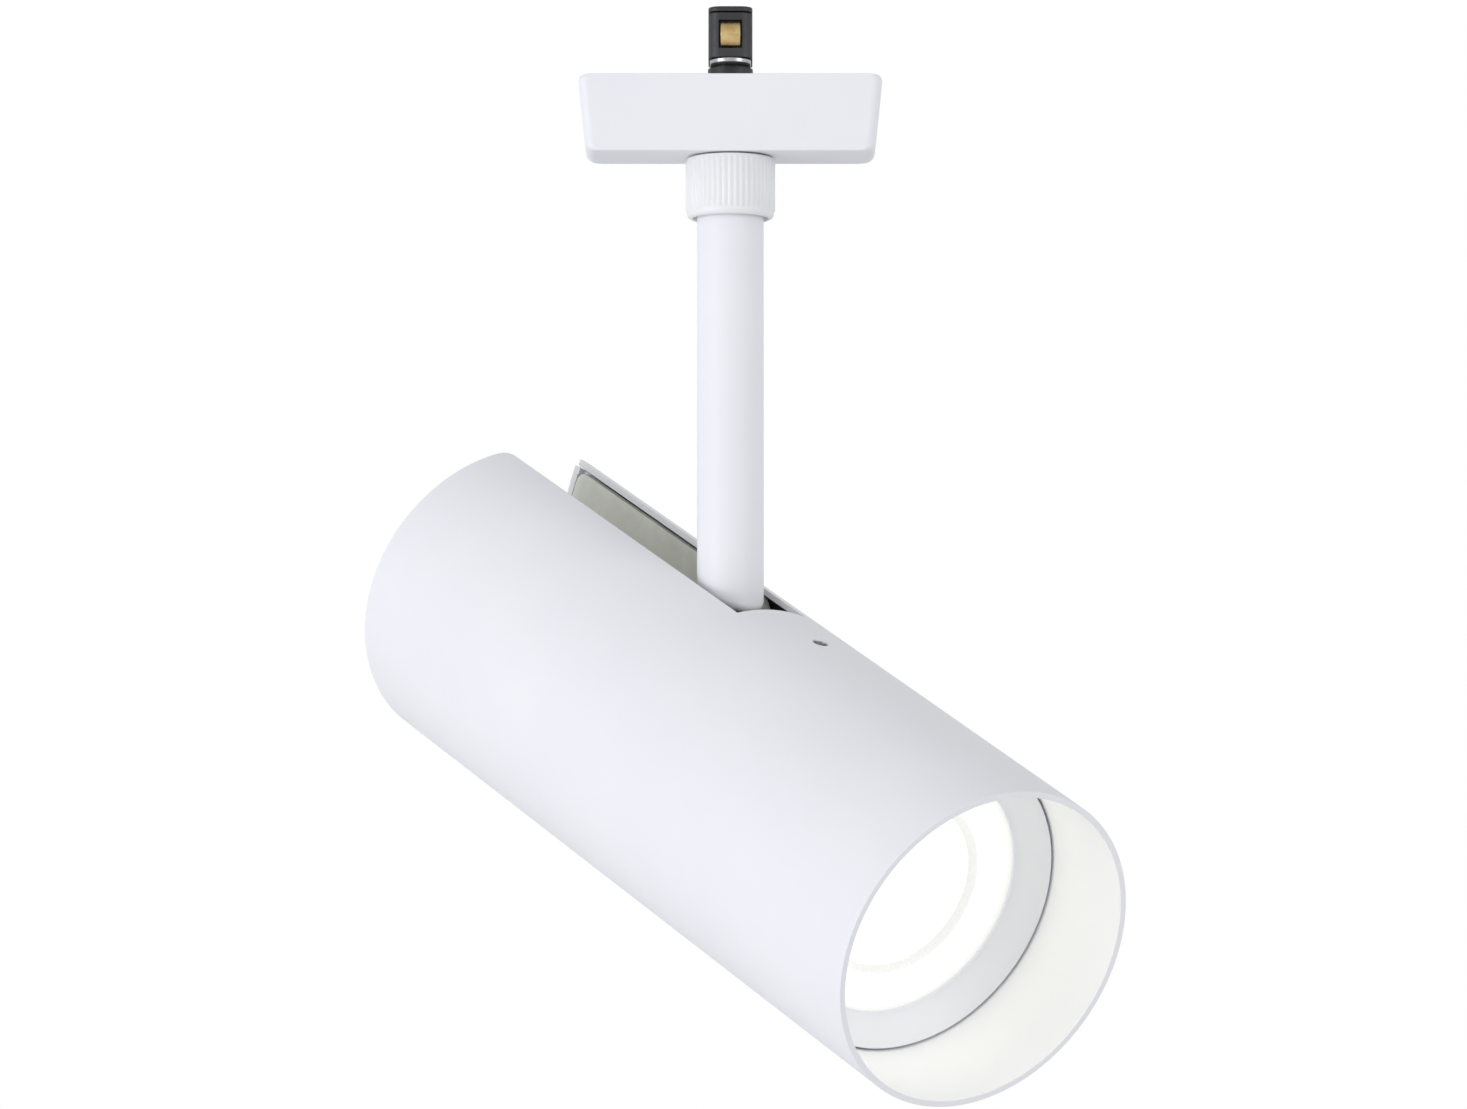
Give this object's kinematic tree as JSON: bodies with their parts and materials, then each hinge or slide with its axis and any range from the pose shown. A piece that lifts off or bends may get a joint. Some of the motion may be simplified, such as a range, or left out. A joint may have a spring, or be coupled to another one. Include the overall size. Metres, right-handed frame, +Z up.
{
  "type": "track spotlight",
  "caption": "Spotlight for a slim track: turn-to-lock adapter, swivelling stem, slotted tubular head tilting on a hidden pivot, twist-in reflector lamp behind a baffle ring.",
  "frame": {"origin": "centre of the adapter's seat on the underside of the track, on the swivel axis", "axes": "+X along the track, +Y to the back of the view in use, +Z up into the track; the head points towards +X and -Y, 26.8 degrees below the horizontal"},
  "size_m": [0.1473, 0.1688, 0.2155],
  "materials": {
    "white_coat": "white fine-texture powder coat, matte",
    "white_plastic": "white moulded plastic, satin",
    "black_plastic": "black glass-filled plastic",
    "zinc_sheet": "bare zinc-plated sheet, dull grey-green",
    "bright_steel": "zinc-plated steel hardware",
    "brass": "bare stamped brass",
    "ceramic": "unglazed steatite",
    "lens": "prismatic polycarbonate lens, lit",
    "led_board": "white board with a yellow phosphor field",
    "cable_sheath": "light grey cable sheath",
    "brown_core": "brown core insulation",
    "blue_core": "blue core insulation",
    "earth_core": "green and yellow core insulation"
  },
  "bodies": {
    "adapter": {"adapter_housing": "white_coat", "adapter_cover": "white_plastic", "cover_screw_left": "bright_steel", "cover_screw_right": "bright_steel"},
    "lock": {"rotor_shaft": "black_plastic", "contact_insert": "black_plastic", "insert_cap": "black_plastic", "live_contact": "brass", "neutral_contact": "brass", "lock_plate": "bright_steel", "ring_clip": "bright_steel", "lock_ring": "white_plastic", "insert_lead_live": "brown_core", "insert_lead_neutral": "blue_core", "insert_lead_earth": "earth_core"},
    "stem": {"swivel_spindle": "bright_steel", "spindle_washer": "brass", "thrust_washer": "white_plastic", "stem_tube": "white_coat", "stem_foot": "zinc_sheet", "stem_cable": "cable_sheath"},
    "head": {"head_tube": "white_coat", "channel_bracket": "zinc_sheet", "rear_cap": "white_coat", "cap_screw_left": "bright_steel", "cap_screw_right": "bright_steel", "grub_screw": "bright_steel", "pivot_bolt": "bright_steel", "pivot_spring_washer": "bright_steel", "pivot_spacer_left": "brass", "pivot_spacer_right": "brass", "pivot_nut": "bright_steel", "lamp_holder": "ceramic", "holder_contact_left": "brass", "holder_contact_right": "brass", "holder_screw_left": "bright_steel", "holder_screw_right": "bright_steel", "earth_tag": "brass", "earth_screw": "brass", "head_lead_live": "brown_core", "head_lead_neutral": "blue_core", "head_lead_earth": "earth_core"},
    "lamp_ring": {"retaining_ring": "white_coat", "snap_wire": "bright_steel"},
    "lamp": {"lamp_body": "white_plastic", "lamp_lens": "lens", "led_board": "led_board", "lamp_pin_left": "bright_steel", "lamp_pin_right": "bright_steel"}
  },
  "joints": [
    {"name": "lock_turn", "type": "hinge", "parent": "adapter", "child": "lock", "pos_m": [0, 0, -0.02], "axis": [0, 0, 1], "range_deg": [0, 90]},
    {"name": "stem_swivel", "type": "hinge", "parent": "lock", "child": "stem", "pos_m": [0, 0, -0.03], "axis": [0, 0, 1], "range_deg": [-197, 123]},
    {"name": "head_tilt", "type": "hinge", "parent": "stem", "child": "head", "pos_m": [0, 0, -0.11225], "axis": [0.7986, 0.6018, 0], "range_deg": [-26.8, 63.2]},
    {"name": "ring_pull", "type": "slide", "parent": "head", "child": "lamp_ring", "axis": [0.5372, -0.7129, -0.4509], "range_m": [0, 0.036]},
    {"name": "lamp_twist", "type": "hinge", "parent": "head", "child": "lamp", "pos_m": [0.04705, -0.06243, -0.17325], "axis": [0.5372, -0.7129, -0.4509], "range_deg": [0, 15]}
  ]
}
